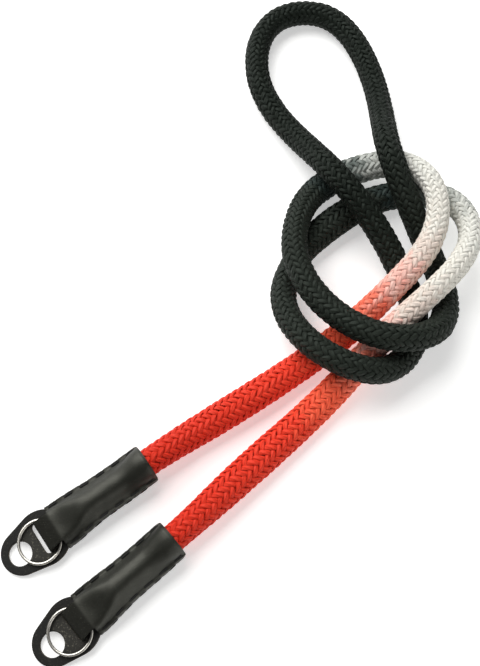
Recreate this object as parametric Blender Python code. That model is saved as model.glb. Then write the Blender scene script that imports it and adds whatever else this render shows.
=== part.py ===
"""Camera neck strap: a braided rope doubled and tied in a loose knot, with leather ends and split rings.

Metres, +Z up, lying on the plane z = 0. The origin is below the middle of the two leather ends.
"""

import math

import bmesh
import bpy
import numpy as np
from mathutils import Matrix, Vector

MM = 0.001
GAP = 0.3 * MM
WELD = 0.001 * MM

# Rope
ROPE_D = 9.5 * MM
ROPE_END_D = 6.6 * MM        # squeezed inside a sleeve
ROPE_RESOLUTION = 4
TUBE_STEPS = 3               # tube points for each span of the route

# Leather sleeve, measured from its mouth, where the rope comes out
LEATHER = 1.2 * MM
SLEEVE_L = 35.5 * MM
SLEEVE_HALF_W = 6.75 * MM
SLEEVE_END_HALF_W = 7.8 * MM
MOUTH_FLARE = 12.0 * MM      # length over which the mouth widens to the rope
MOUTH_CORNER = 1.8 * MM
ROPE_GRIP = 23.0 * MM        # rope held inside the sleeve
CAVITY_L = 30.5 * MM
FLANGE_W = 1.3 * MM          # where the two leathers lie flat on each other
SEAM_FILLET = 0.8 * MM
MOUTH_SQUARE = 2.0
END_SQUARE = 5.0
POINTS_ACROSS = 20
DRAPE_STEPS = 30
SLEEVE_STATIONS = (0.0, 0.012, 0.03, 0.055, 0.11, 0.17, 0.23, 0.29, 0.36, 0.5, 0.63, 0.7, 0.77, 0.84, 0.9, 0.95, 1.0)
CAVITY_STATIONS = (0.0, 0.065, 0.13, 0.2, 0.27, 0.34, 0.42, 0.76, 0.82, 0.88, 0.94, 1.0)
ROPE_STATIONS = (1.0, 0.76, 0.52, 0.42, 0.34, 0.26, 0.17, 0.09)    # of the grip, from the rope's end out

# Tongue that folds through the ring and the guard's slot
TONGUE_W = 10.6 * MM
TONGUE_REACH = 5.8 * MM      # from the sleeve's end to the outside of the fold
TONGUE_ROOT = 1.8 * MM       # overlap with the sleeve, which is one leather with it
TONGUE_SINK = 0.7 * MM       # how far its root dips under the sleeve's leather
TONGUE_SHOULDER = 0.9 * MM   # the sleeve's end is domed this much wider than the tongue
FOLD_BEND = 1.9 * MM
EYE_CLEARANCE = 0.02 * MM

# Guard
GUARD_T = 1.3 * MM
GUARD_L = 19.5 * MM
GUARD_BROAD_R = 9.2 * MM
GUARD_TIP_R = 7.4 * MM
GUARD_ROOT_HALF_W = 7.5 * MM
GUARD_HOLE_R = 3.9 * MM
GUARD_TIP_RIM = 2.5 * MM
GUARD_ROOT_BAR = 3.0 * MM    # leather between the root edge and the slot
OUTLINE_STEPS = 14
HOLE_STEPS = 36
SLOT_STEPS = 8
SLOT_W = 2.8 * MM
SLOT_L = 11.8 * MM

# Split ring
RING_OD = 14.8 * MM
WIRE_W = 0.85 * MM
WIRE_H = 0.5 * MM
TURN_GAP = 0.06 * MM
RING_TUCK = 0.75 * MM        # how far its back reaches into the sleeve's throat
RING_ASIDE = 0.75 * MM
RING_JOG = math.radians(40)
RING_STEP = math.radians(10)
RING_SPLIT_AT = math.radians(150)
WIRE_RESOLUTION = 2

# Where each sleeve's mouth lies, its heading from the mouth to the ring, and how far its guard is drawn out
MOUTH_1_X = 16.9 * MM
MOUTH_1_Y = 29.1 * MM
HEADING_1 = math.radians(-144.5)
SLACK_1 = 0.6 * MM
MOUTH_2_X = 26.0 * MM
MOUTH_2_Y = 4.6 * MM
HEADING_2 = math.radians(-139.2)
SLACK_2 = 0.0
ENDS = {
    1: {"x": MOUTH_1_X, "y": MOUTH_1_Y, "heading": HEADING_1, "slack": SLACK_1},
    2: {"x": MOUTH_2_X, "y": MOUTH_2_Y, "heading": HEADING_2, "slack": SLACK_2},
}

# The rope's route from mouth 1 to mouth 2, in millimetres: x, y and how far it is lifted off the plane
ROUTE = [
    (34.0, 40.9, 0.0),
    (52.3, 52.4, 0.9),
    (90.3, 80.5, 3.2),
    (98.1, 87.1, 7.9),
    (116.3, 111.3, 12.9),
    (115.3, 130.4, 11.8),
    (103.5, 141.6, 4.0),
    (78.3, 134.1, 0.5),
    (67.5, 114.0, 7.7),
    (66.7, 100.7, 10.9),
    (80.5, 77.0, 13.1),
    (99.7, 68.4, 14.2),
    (115.0, 74.4, 8.0),
    (119.7, 90.4, 1.3),
    (115.2, 107.7, 1.0),
    (108.9, 120.1, 8.1),
    (101.8, 138.8, 14.3),
    (101.1, 161.8, 5.3),
    (95.5, 194.8, 0.0),
    (80.5, 213.1, 0.1),
    (63.8, 211.6, 0.2),
    (54.7, 182.3, 0.2),
    (70.0, 152.4, 3.0),
    (82.2, 131.7, 12.1),
    (90.7, 120.6, 10.3),
    (104.2, 99.3, 1.9),
    (108.1, 73.1, 0.8),
    (95.6, 59.4, 7.5),
    (83.9, 59.6, 11.8),
    (62.8, 85.1, 4.0),
    (66.4, 101.5, 0.2),
    (88.1, 123.3, 1.1),
    (107.5, 130.8, 0.1),
    (125.7, 123.3, 5.6),
    (129.1, 111.0, 9.0),
    (112.5, 85.5, 12.2),
    (95.3, 70.8, 4.1),
    (78.8, 53.8, 0.3),
    (48.5, 25.4, 0.8),
]

# Colours, roughness and metallic value
LOOKS = {
    "rope": ((0.035, 0.038, 0.035), 0.8, 0.0),
    "leather": ((0.012, 0.012, 0.011), 0.45, 0.0),
    "steel": ((0.72, 0.71, 0.69), 0.25, 1.0),
}


def clear_scene():
    for old in list(bpy.data.objects):
        bpy.data.objects.remove(old, do_unlink=True)


def collection(name):
    made = bpy.data.collections.new(name)
    bpy.context.scene.collection.children.link(made)
    return made


def material(name):
    colour, roughness, metallic = LOOKS[name]
    made = bpy.data.materials.new(name)
    made.use_nodes = True
    shader = made.node_tree.nodes["Principled BSDF"]
    shader.inputs["Base Color"].default_value = (*colour, 1.0)
    shader.inputs["Roughness"].default_value = roughness
    shader.inputs["Metallic"].default_value = metallic
    return made


def add(name, data, folder, look, matrix=None):
    made = bpy.data.objects.new(name, data)
    folder.objects.link(made)
    data.materials.append(look)
    if matrix is not None:
        made.matrix_world = matrix
    return made


def smoothstep(value):
    t = min(max(value, 0.0), 1.0)
    return t * t * (3 - 2 * t)


def blend(a, b, t):
    return a + (b - a) * t


def end_matrix(end):
    """Local +X runs from the sleeve's mouth to the ring, local Y across."""
    return Matrix.Translation((end["x"], end["y"], 0)) @ Matrix.Rotation(end["heading"], 4, "Z")


# Sizes that follow from others
SNUG_R = ROPE_END_D / 2 + GAP + LEATHER
MOUTH_R = ROPE_D / 2 + GAP + LEATHER
FOLD_X = SLEEVE_L + TONGUE_REACH
GUARD_ROOT_X = SLEEVE_L + GAP
GUARD_TIP_X = GUARD_ROOT_X + GUARD_L
GUARD_TILT = math.atan2(LEATHER + GAP, GUARD_TIP_X - FOLD_X)
RING_H = 2 * WIRE_H + TURN_GAP
RING_BACK_X = SLEEVE_L - RING_TUCK
RING_X = RING_BACK_X + RING_OD / 2
TONGUE_TOP = (
    (GUARD_TIP_X + max(SLACK_1, SLACK_2) - RING_BACK_X) * math.tan(GUARD_TILT)
    + (GUARD_T + GAP + RING_H) / math.cos(GUARD_TILT) + GAP + LEATHER
)
SEAM_END = 2 * LEATHER + GAP


def sleeve_section(x):
    """Half width, seam height, crest above the seam, flat seam's inner edge, and the dome's width and squareness."""
    flare = smoothstep(x / MOUTH_FLARE)
    flat = smoothstep((x - ROPE_GRIP) / (SLEEVE_L - ROPE_GRIP))
    radius = blend(MOUTH_R, SNUG_R, flare)
    corner = min(x / MOUTH_CORNER, 1.0)
    rounded = math.sqrt(1 - (1 - corner) ** 2)
    half = blend(MOUTH_R, SLEEVE_HALF_W, rounded)
    half = blend(half, SLEEVE_END_HALF_W, smoothstep((x / SLEEVE_L - 0.5) * 2))
    return {
        "half": half,
        "seam": blend(radius, SEAM_END, flat),
        "crest": blend(radius, TONGUE_TOP - SEAM_END, flat),
        "edge": half - FLANGE_W,
        "dome": blend(radius, TONGUE_W / 2 + TONGUE_SHOULDER, flat),
        "square": blend(MOUTH_SQUARE, END_SQUARE, flat),
    }


def soft_max(a, b, width):
    return (a + b + math.sqrt((a - b) ** 2 + width ** 2)) / 2


def dome(across, height, s):
    share = across / s["dome"]
    if share >= 1:
        return (1 - share) * height
    return height * (1 - share ** s["square"]) ** (1 / s["square"])


def taut(across, height, s):
    """Leather over the dome, drawn straight from it to the flat seam's inner edge."""
    highest = dome(across, height, s)
    if across < s["edge"]:
        for i in range(DRAPE_STEPS):
            foot = across * i / DRAPE_STEPS
            start = dome(foot, height, s)
            run = (across - foot) / (s["edge"] - foot)
            highest = max(highest, blend(start, LEATHER, run))
    return soft_max(highest, LEATHER, SEAM_FILLET)


def sleeve_loop(x):
    """The sleeve's outer outline at x: top from side to side, then back underneath."""
    s = sleeve_section(x)
    turns = [2 * i / POINTS_ACROSS - 1 for i in range(POINTS_ACROSS + 1)]
    ys = [s["half"] * math.sin(math.pi / 2 * turn) for turn in turns]
    top = [s["seam"] + taut(abs(y), s["crest"], s) for y in ys]
    bottom = [max(0.0, s["seam"] - taut(abs(y), s["seam"], s)) for y in ys]
    loop = [(x, y, z) for y, z in zip(ys, top)]
    loop += [(x, y, z) for y, z in zip(reversed(ys), reversed(bottom))]
    return loop


def cavity_loop(x, sides):
    """The hollow that holds the rope, then narrows as the two leathers come together."""
    s = sleeve_section(x)
    low = LEATHER
    high = s["seam"] + s["crest"] - LEATHER
    height = (high - low) / 2
    width = s["seam"] - LEATHER if x < ROPE_GRIP else SNUG_R - LEATHER
    middle = (high + low) / 2
    angles = [2 * math.pi * i / sides for i in range(sides)]
    return [(x, width * math.cos(a), middle + height * math.sin(a)) for a in angles]


def skin(bm, loops):
    """Joins closed loops of equal count with quads and returns their vertices."""
    rows = [[bm.verts.new(point) for point in loop] for loop in loops]
    for near, far in zip(rows, rows[1:]):
        count = len(near)
        for i in range(count):
            j = (i + 1) % count
            bm.faces.new((near[i], near[j], far[j], far[i]))
    return rows


def sleeve_mesh(name):
    """The stitched sleeve: an outer skin, a blind hollow from the mouth, and a lip that joins them."""
    sides = 2 * (POINTS_ACROSS + 1)
    bm = bmesh.new()
    outer = skin(bm, [sleeve_loop(share * SLEEVE_L) for share in SLEEVE_STATIONS])
    inner = skin(bm, [cavity_loop(share * CAVITY_L, sides) for share in CAVITY_STATIONS])
    bm.faces.new(outer[-1])
    bm.faces.new(inner[-1])
    lip_out = [bm.edges.get((outer[0][i], outer[0][i - 1])) for i in range(sides)]
    lip_in = [bm.edges.get((inner[0][i], inner[0][i - 1])) for i in range(sides)]
    bmesh.ops.bridge_loops(bm, edges=lip_out + lip_in)
    bmesh.ops.recalc_face_normals(bm, faces=bm.faces)
    mesh = bpy.data.meshes.new(name)
    bm.to_mesh(mesh)
    bm.free()
    return mesh


def tongue_outline():
    """Side view of the folded tongue's outside as x and z, from under the sleeve's end round to its top."""
    top = TONGUE_TOP
    bend = FOLD_BEND
    root = SLEEVE_L - TONGUE_ROOT
    return [(root, TONGUE_SINK / 2), (SLEEVE_L, 0.0), (FOLD_X - 0.5 * LEATHER, 0.0),
            (FOLD_X - 0.15 * LEATHER, 0.25 * LEATHER), (FOLD_X, LEATHER), (FOLD_X, top - bend),
            (FOLD_X - 0.2 * bend, top - 0.55 * bend), (FOLD_X - 0.7 * bend, top - 0.2 * bend),
            (FOLD_X - 1.5 * bend, top), (SLEEVE_L, top), (root, top - TONGUE_SINK)]


def eye_outline():
    """Side view of the eye inside the fold, which holds the ring and reaches into the sleeve's throat."""
    top = TONGUE_TOP - LEATHER
    bend = FOLD_BEND
    throat = RING_BACK_X - GAP
    inner = FOLD_X - LEATHER
    return [(throat, LEATHER), (inner, LEATHER), (inner, top - 0.6 * bend),
            (inner - 0.2 * bend, top - 0.25 * bend), (inner - 0.6 * bend, top), (throat, top)]


def prism(name, outline, width):
    """A side-view outline, made solid across the local Y axis."""
    bm = bmesh.new()
    face = bm.faces.new([bm.verts.new((x, -width / 2, z)) for x, z in outline])
    grown = bmesh.ops.extrude_face_region(bm, geom=[face])
    moved = [item for item in grown["geom"] if isinstance(item, bmesh.types.BMVert)]
    bmesh.ops.translate(bm, verts=moved, vec=(0, width, 0))
    bmesh.ops.recalc_face_normals(bm, faces=bm.faces)
    mesh = bpy.data.meshes.new(name)
    bm.to_mesh(mesh)
    bm.free()
    return mesh


def smooth(mesh, angle=40):
    mesh.shade_smooth()
    mesh.set_sharp_from_angle(angle=math.radians(angle))


def make_sleeve(number, parts, cutters, look):
    place = end_matrix(ENDS[number])
    sleeve = add(f"sleeve_{number}", sleeve_mesh(f"sleeve_{number}"), parts, look, place)
    steps = [
        ("tongue", tongue_outline(), TONGUE_W, "UNION"),
        ("eye", eye_outline(), TONGUE_W + 2 * EYE_CLEARANCE, "DIFFERENCE"),
    ]
    for title, outline, width, operation in steps:
        name = f"{title}_{number}"
        tool = add(name, prism(name, outline, width), cutters, look, place)
        tool.hide_render = True
        tool.display_type = "WIRE"
        step = sleeve.modifiers.new(title, "BOOLEAN")
        step.operation = operation
        step.object = tool
    smooth(sleeve.data)


def egg(points):
    """The guard's outline round two circles and their tangents, cut straight at the root; tip at x = 0."""
    tip = -GUARD_TIP_R
    broad = -GUARD_L + math.sqrt(GUARD_BROAD_R ** 2 - GUARD_ROOT_HALF_W ** 2)
    lean = math.asin((GUARD_BROAD_R - GUARD_TIP_R) / (tip - broad))
    first = math.pi / 2 - lean
    root = math.acos((-GUARD_L - broad) / GUARD_BROAD_R)
    upper = [(tip + GUARD_TIP_R * math.cos(first * i / points), GUARD_TIP_R * math.sin(first * i / points))
             for i in range(points + 1)]
    for i in range(points + 1):
        a = blend(first, root, i / points)
        upper.append((broad + GUARD_BROAD_R * math.cos(a), GUARD_BROAD_R * math.sin(a)))
    lower = [(x, -y) for x, y in reversed(upper[1:])]
    return upper + lower


def circle(centre, radius, count):
    return [(centre + radius * math.cos(2 * math.pi * i / count), radius * math.sin(2 * math.pi * i / count))
            for i in range(count)]


def slot(near, far, length, count):
    """A slot across the guard, between x = near and far, with round ends."""
    middle = (near + far) / 2
    radius = abs(far - near) / 2
    straight = length / 2 - radius
    ends = []
    for side in (1, -1):
        for i in range(count + 1):
            a = math.pi * i / count if side > 0 else math.pi + math.pi * i / count
            ends.append((middle + radius * math.cos(a), side * straight + radius * math.sin(a)))
    return ends


def flat_plate(name, outlines, thickness):
    """A flat outline with its holes, from z = 0 up."""
    data = bpy.data.curves.new(name, "CURVE")
    data.dimensions = "2D"
    data.fill_mode = "BOTH"
    data.extrude = thickness / 2
    for outline in outlines:
        spline = data.splines.new("POLY")
        spline.points.add(len(outline) - 1)
        spline.use_cyclic_u = True
        for point, (x, y) in zip(spline.points, outline):
            point.co = (x, y, 0, 1)
    return to_mesh(name, data, Matrix.Translation((0, 0, thickness / 2)))


def to_mesh(name, curve, matrix):
    """The curve's own mesh with its caps welded, moved by the matrix."""
    carrier = bpy.data.objects.new(name, curve)
    bpy.context.scene.collection.objects.link(carrier)
    ready = carrier.evaluated_get(bpy.context.evaluated_depsgraph_get())
    mesh = bpy.data.meshes.new_from_object(ready)
    bpy.data.objects.remove(carrier)
    bm = bmesh.new()
    bm.from_mesh(mesh)
    bmesh.ops.remove_doubles(bm, verts=bm.verts, dist=WELD)
    bmesh.ops.transform(bm, matrix=matrix, verts=bm.verts)
    bmesh.ops.recalc_face_normals(bm, faces=bm.faces)
    bm.to_mesh(mesh)
    bm.free()
    mesh.name = name
    return mesh


def guard_matrix(end):
    """The guard leans from the folded tongue down to the plane, which its tip meets."""
    tip = Matrix.Translation((GUARD_TIP_X + end["slack"], 0, 0))
    return end_matrix(end) @ tip @ Matrix.Rotation(GUARD_TILT, 4, "Y")


def make_guard(number, parts, look):
    slot_near = -GUARD_L + GUARD_ROOT_BAR
    outlines = [
        egg(OUTLINE_STEPS),
        circle(-GUARD_TIP_RIM - GUARD_HOLE_R, GUARD_HOLE_R, HOLE_STEPS),
        slot(slot_near, slot_near + SLOT_W, SLOT_L, SLOT_STEPS),
    ]
    mesh = flat_plate(f"guard_{number}", outlines, GUARD_T)
    smooth(mesh)
    add(f"guard_{number}", mesh, parts, look, guard_matrix(ENDS[number]))


def make_ring(number, parts, look):
    """Two turns of flattened wire: one lies on the guard, then a jog leads up to the other."""
    radius = (RING_OD - WIRE_W) / 2
    squash = WIRE_H / WIRE_W
    pitch = WIRE_H + TURN_GAP
    start = RING_STEP / 4
    stop = 4 * math.pi - RING_JOG - RING_STEP / 4
    count = round((stop - start) / RING_STEP)
    path = []
    for i in range(count + 1):
        turn = blend(start, stop, i / count)
        rise = smoothstep((turn - 2 * math.pi + RING_JOG) / RING_JOG)
        a = turn + RING_SPLIT_AT
        path.append((radius * math.cos(a), radius * math.sin(a), (WIRE_H / 2 + pitch * rise) / squash))
    curve = tube(f"ring_{number}", path, WIRE_W, WIRE_RESOLUTION)
    mesh = to_mesh(f"ring_{number}", curve, Matrix.Diagonal((1, 1, squash, 1)))
    smooth(mesh)
    end = ENDS[number]
    back = (RING_X - GUARD_TIP_X - end["slack"]) / math.cos(GUARD_TILT)
    place = guard_matrix(end) @ Matrix.Translation((back, RING_ASIDE, GUARD_T + GAP))
    add(f"ring_{number}", mesh, parts, look, place)


def tube(name, path, diameter, resolution, radii=None):
    data = bpy.data.curves.new(name, "CURVE")
    data.dimensions = "3D"
    data.twist_mode = "MINIMUM"
    data.bevel_depth = diameter / 2
    data.bevel_resolution = resolution
    data.use_fill_caps = True
    spline = data.splines.new("POLY")
    spline.points.add(len(path) - 1)
    for i, (point, place) in enumerate(zip(spline.points, path)):
        point.co = (*place, 1)
        point.radius = radii[i] if radii else 1.0
    return data


def spline_through(points, start, end, steps):
    """Points on the smooth curve through the given ones, which leaves along start and arrives along end."""
    p = np.array(points, float)
    h = np.linalg.norm(np.diff(p, axis=0), axis=1)
    slope = np.diff(p, axis=0) / h[:, None]
    count = len(p)
    a = np.eye(count)
    b = np.zeros((count, 3))
    b[0] = start
    b[-1] = end
    for i in range(1, count - 1):
        a[i, i - 1:i + 2] = h[i], 2 * (h[i - 1] + h[i]), h[i - 1]
        b[i] = 3 * (h[i] * slope[i - 1] + h[i - 1] * slope[i])
    m = np.linalg.solve(a, b)
    made = []
    for i in range(count - 1):
        for t in np.arange(steps) / steps:
            made.append(
                (1 + 2 * t) * (1 - t) ** 2 * p[i] + t * (1 - t) ** 2 * h[i] * m[i]
                + t * t * (3 - 2 * t) * p[i + 1] + t * t * (t - 1) * h[i] * m[i + 1]
            )
    return made + [p[-1]]


def rope_in_sleeve(end):
    """The rope's centre and radius share from its end inside the sleeve out to just short of the mouth."""
    made = []
    for share in ROPE_STATIONS:
        x = share * ROPE_GRIP
        seam = sleeve_section(x)["seam"]
        centre = end_matrix(end) @ Vector((x, 0, seam))
        radius = seam - LEATHER - GAP
        made.append((np.array(centre), radius / (ROPE_D / 2)))
    return made


def mouth(end):
    return np.array(end_matrix(end) @ Vector((0, 0, MOUTH_R)))


def heading(end):
    return np.array((math.cos(end["heading"]), math.sin(end["heading"]), 0.0))


def make_rope(parts, look):
    lying = ROPE_D / 2
    points = [np.array((x * MM, y * MM, lift * MM + lying)) for x, y, lift in ROUTE]
    points = [mouth(ENDS[1]), *points, mouth(ENDS[2])]
    free = spline_through(points, -heading(ENDS[1]), heading(ENDS[2]), TUBE_STEPS)
    for place in free:
        place[2] = max(place[2], lying)
    first = rope_in_sleeve(ENDS[1])
    last = list(reversed(rope_in_sleeve(ENDS[2])))
    path = [place for place, _ in first] + free + [place for place, _ in last]
    radii = [share for _, share in first] + [1.0] * len(free) + [share for _, share in last]
    data = tube("rope", path, ROPE_D, ROPE_RESOLUTION, radii)
    data.splines[0].use_smooth = True
    add("rope", data, parts, look)


def main():
    clear_scene()
    parts = collection("camera_neck_strap")
    cutters = collection("cutters")
    rope = material("rope")
    leather = material("leather")
    steel = material("steel")
    make_rope(parts, rope)
    for number in ENDS:
        make_sleeve(number, parts, cutters, leather)
        make_guard(number, parts, leather)
        make_ring(number, parts, steel)


main()
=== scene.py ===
"""Looks of a camera neck strap.

A braided rope, dyed from red through white to near black, lies doubled in a loose knot. Each of its ends is
held in a stitched leather sleeve, whose folded tongue carries a split ring and a leather guard.
"""

import logging
import math
from collections.abc import Mapping, Sequence
from dataclasses import dataclass, field
from enum import Enum

import bmesh
import bpy
import numpy as np
from mathutils import Matrix, Vector


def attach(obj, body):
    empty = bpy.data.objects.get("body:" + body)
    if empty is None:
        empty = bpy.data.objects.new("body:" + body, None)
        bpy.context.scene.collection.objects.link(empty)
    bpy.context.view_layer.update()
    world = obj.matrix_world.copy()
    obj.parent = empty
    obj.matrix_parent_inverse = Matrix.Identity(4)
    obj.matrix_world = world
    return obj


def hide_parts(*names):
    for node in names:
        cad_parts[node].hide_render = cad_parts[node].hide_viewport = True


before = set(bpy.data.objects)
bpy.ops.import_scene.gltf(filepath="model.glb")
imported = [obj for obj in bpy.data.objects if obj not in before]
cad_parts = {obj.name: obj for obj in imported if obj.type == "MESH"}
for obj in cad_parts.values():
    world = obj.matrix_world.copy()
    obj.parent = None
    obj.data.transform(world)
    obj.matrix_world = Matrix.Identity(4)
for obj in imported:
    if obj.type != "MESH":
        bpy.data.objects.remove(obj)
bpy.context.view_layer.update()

log = logging.getLogger("neck_strap")

MM = 0.001
TINY = 0.001 * MM
BODY = "root"
SEED = 11

Colour = tuple[float, float, float, float]


def srgb(code: str) -> Colour:
    """Turns a hex colour, as seen on a screen, into linear light.

    Args:
        code: Six hex digits.

    Returns:
        Red, green, blue and an alpha of one.
    """
    parts = [int(code[i:i + 2], 16) / 255 for i in (0, 2, 4)]
    red, green, blue = (v / 12.92 if v <= 0.04045 else ((v + 0.055) / 1.055) ** 2.4 for v in parts)
    return red, green, blue, 1.0


def smoothstep(value: np.ndarray | float) -> np.ndarray:
    """Eases from 0 to 1 as the value does.

    Args:
        value: Any numbers; those outside 0 to 1 are held at its ends.

    Returns:
        The eased numbers.
    """
    t = np.clip(value, 0.0, 1.0)
    return t * t * (3 - 2 * t)


def blend(a: np.ndarray | float, b: np.ndarray | float, t: np.ndarray | float) -> np.ndarray:
    """The value between a and b at t."""
    return a + (b - a) * t


def soft_max(a: np.ndarray, b: float, width: float) -> np.ndarray:
    """The larger of a and b, with a fillet of the width where they cross."""
    return (a + b + np.sqrt((a - b) ** 2 + width ** 2)) / 2


def unit(vectors: np.ndarray) -> np.ndarray:
    """The vectors, one a row, at length one."""
    return vectors / np.linalg.norm(vectors, axis=-1, keepdims=True)


class Signal:
    """The output of a shader node; arithmetic on it adds Math nodes to the same material."""

    def __init__(self, shading: "Shading", socket: bpy.types.NodeSocket) -> None:
        """Wraps one output socket of the shading's tree."""
        self.shading = shading
        self.socket = socket

    def _maths(self, operation: str, first: "Signal | float", second: "Signal | float") -> "Signal":
        """One Math node on two values."""
        return self.shading.node("ShaderNodeMath", {"operation": operation}, {0: first, 1: second})

    def __add__(self, other: "Signal | float") -> "Signal":
        """self + other."""
        return self._maths("ADD", self, other)

    def __radd__(self, other: float) -> "Signal":
        """other + self."""
        return self._maths("ADD", other, self)

    def __sub__(self, other: "Signal | float") -> "Signal":
        """self - other."""
        return self._maths("SUBTRACT", self, other)

    def __mul__(self, other: "Signal | float") -> "Signal":
        """self * other."""
        return self._maths("MULTIPLY", self, other)

    def __truediv__(self, other: "Signal | float") -> "Signal":
        """self / other."""
        return self._maths("DIVIDE", self, other)

    def __pow__(self, other: float) -> "Signal":
        """self to a power."""
        return self._maths("POWER", self, other)

    def __abs__(self) -> "Signal":
        """The size of self, without its sign."""
        return self._maths("ABSOLUTE", self, 0.0)

    def sine(self) -> "Signal":
        """The sine of self, in radians."""
        return self._maths("SINE", self, 0.0)

    def between(self, low: float, high: float, to_low: float = 0.0, to_high: float = 1.0) -> "Signal":
        """Eases from to_low to to_high while self goes from low to high.

        Args:
            low: Where the change starts.
            high: Where it ends.
            to_low: The value up to low.
            to_high: The value from high on.

        Returns:
            The eased signal.
        """
        inputs = {0: self, 1: low, 2: high, 3: to_low, 4: to_high}
        return self.shading.node("ShaderNodeMapRange", {"interpolation_type": "SMOOTHSTEP"}, inputs)


class Shading:
    """One material and the nodes that make it."""

    def __init__(self, name: str) -> None:
        """Starts an empty material with its Principled shader.

        Args:
            name: The material's name.
        """
        self.material = bpy.data.materials.new(name)
        self.material.use_nodes = True
        self.tree = self.material.node_tree
        self.shader = self.tree.nodes["Principled BSDF"]

    def node(
        self,
        kind: str,
        settings: Mapping[str, object] | None = None,
        inputs: Mapping[str | int, object] | None = None,
        output: str | int = 0,
    ) -> Signal:
        """Adds any node.

        Args:
            kind: The node's type.
            settings: Its properties, set first; "stops" fills a colour ramp.
            inputs: Values or signals for its sockets, by name or number.
            output: Which output to hand back.

        Returns:
            That output.
        """
        made = self.tree.nodes.new(kind)
        for name, value in (settings or {}).items():
            if name == "stops":
                self._fill_ramp(made.color_ramp, value)
            else:
                setattr(made, name, value)
        for key, value in (inputs or {}).items():
            self._feed(made.inputs[key], value)
        return Signal(self, made.outputs[output])

    def _feed(self, socket: bpy.types.NodeSocket, value: object) -> None:
        """Links a signal to a socket, or sets the socket's own value.

        Args:
            socket: An input socket.
            value: The signal or the value.
        """
        if isinstance(value, Signal):
            self.tree.links.new(value.socket, socket)
        else:
            socket.default_value = value

    @staticmethod
    def _fill_ramp(ramp: bpy.types.ColorRamp, stops: Sequence[tuple[float, Colour]]) -> None:
        """Gives a ramp its stops, in order of place.

        Args:
            ramp: The ramp.
            stops: Each stop's place, from 0 to 1, and its colour.
        """
        ramp.interpolation = "EASE"
        while len(ramp.elements) < len(stops):
            ramp.elements.new(1.0)
        for element, (place, colour) in zip(ramp.elements, stops):
            element.position = place
            element.color = colour

    def attribute(self, name: str) -> Signal:
        """A number that the mesh holds at each point."""
        return self.node("ShaderNodeAttribute", {"attribute_name": name}, output="Fac")

    def place(self) -> Signal:
        """The point on the surface, in millimetres."""
        return self.stretched(self.node("ShaderNodeTexCoord", output="Object"), (1 / MM,) * 3)

    def stretched(self, at: Signal, scale: tuple[float, float, float]) -> Signal:
        """A place, scaled along each axis."""
        return self.node("ShaderNodeVectorMath", {"operation": "MULTIPLY"}, {0: at, 1: scale})

    def vector(self, x: Signal | float, y: Signal | float) -> Signal:
        """A flat vector from two numbers."""
        return self.node("ShaderNodeCombineXYZ", None, {0: x, 1: y})

    def grey(self, value: Signal) -> Signal:
        """A grey from one number."""
        return self.node("ShaderNodeCombineColor", None, {0: value, 1: value, 2: value})

    def noise(self, at: Signal, scale: float, detail: float = 2.0, roughness: float = 0.5) -> Signal:
        """Smooth noise about 0.5.

        Args:
            at: Where to read it.
            scale: Waves for each unit of that place.
            detail: Octaves.
            roughness: How much each octave keeps.

        Returns:
            The noise.
        """
        inputs = {"Vector": at, "Scale": scale, "Detail": detail, "Roughness": roughness}
        return self.node("ShaderNodeTexNoise", None, inputs, output="Fac")

    def cells(self, at: Signal, scale: float) -> Signal:
        """Distances in a pattern of soft cells."""
        inputs = {"Vector": at, "Scale": scale}
        return self.node("ShaderNodeTexVoronoi", {"feature": "SMOOTH_F1"}, inputs, "Distance")

    def ramp(self, at: Signal, stops: Sequence[tuple[float, Colour]]) -> Signal:
        """Colours by a number from 0 to 1."""
        return self.node("ShaderNodeValToRGB", {"stops": stops}, {0: at})

    def mix(
        self, share: Signal | float, first: Signal | Colour, second: Signal | Colour, how: str = "MIX"
    ) -> Signal:
        """Mixes two colours.

        Args:
            share: How much of the second.
            first: The colour at 0.
            second: The colour at 1.
            how: The blend type.

        Returns:
            The mixed colour.
        """
        settings = {"data_type": "RGBA", "blend_type": how}
        return self.node("ShaderNodeMix", settings, {0: share, 6: first, 7: second}, output=2)

    def bump(self, height: Signal, depth: float, normal: Signal | None = None) -> Signal:
        """Bends the normal by a height map.

        Args:
            height: The map, 0 to 1.
            depth: What 1 stands for, in metres.
            normal: A bump that this one goes on top of.

        Returns:
            The bent normal.
        """
        inputs = {"Height": height, "Distance": depth, "Strength": 1.0}
        if normal is not None:
            inputs["Normal"] = normal
        return self.node("ShaderNodeBump", None, inputs)

    def finish(self, **inputs: object) -> bpy.types.Material:
        """Feeds the shader and hands back the material.

        Args:
            inputs: Values or signals by socket name, with _ for a space.

        Returns:
            The material.
        """
        for name, value in inputs.items():
            self._feed(self.shader.inputs[name.replace("_", " ")], value)
        return self.material


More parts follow.
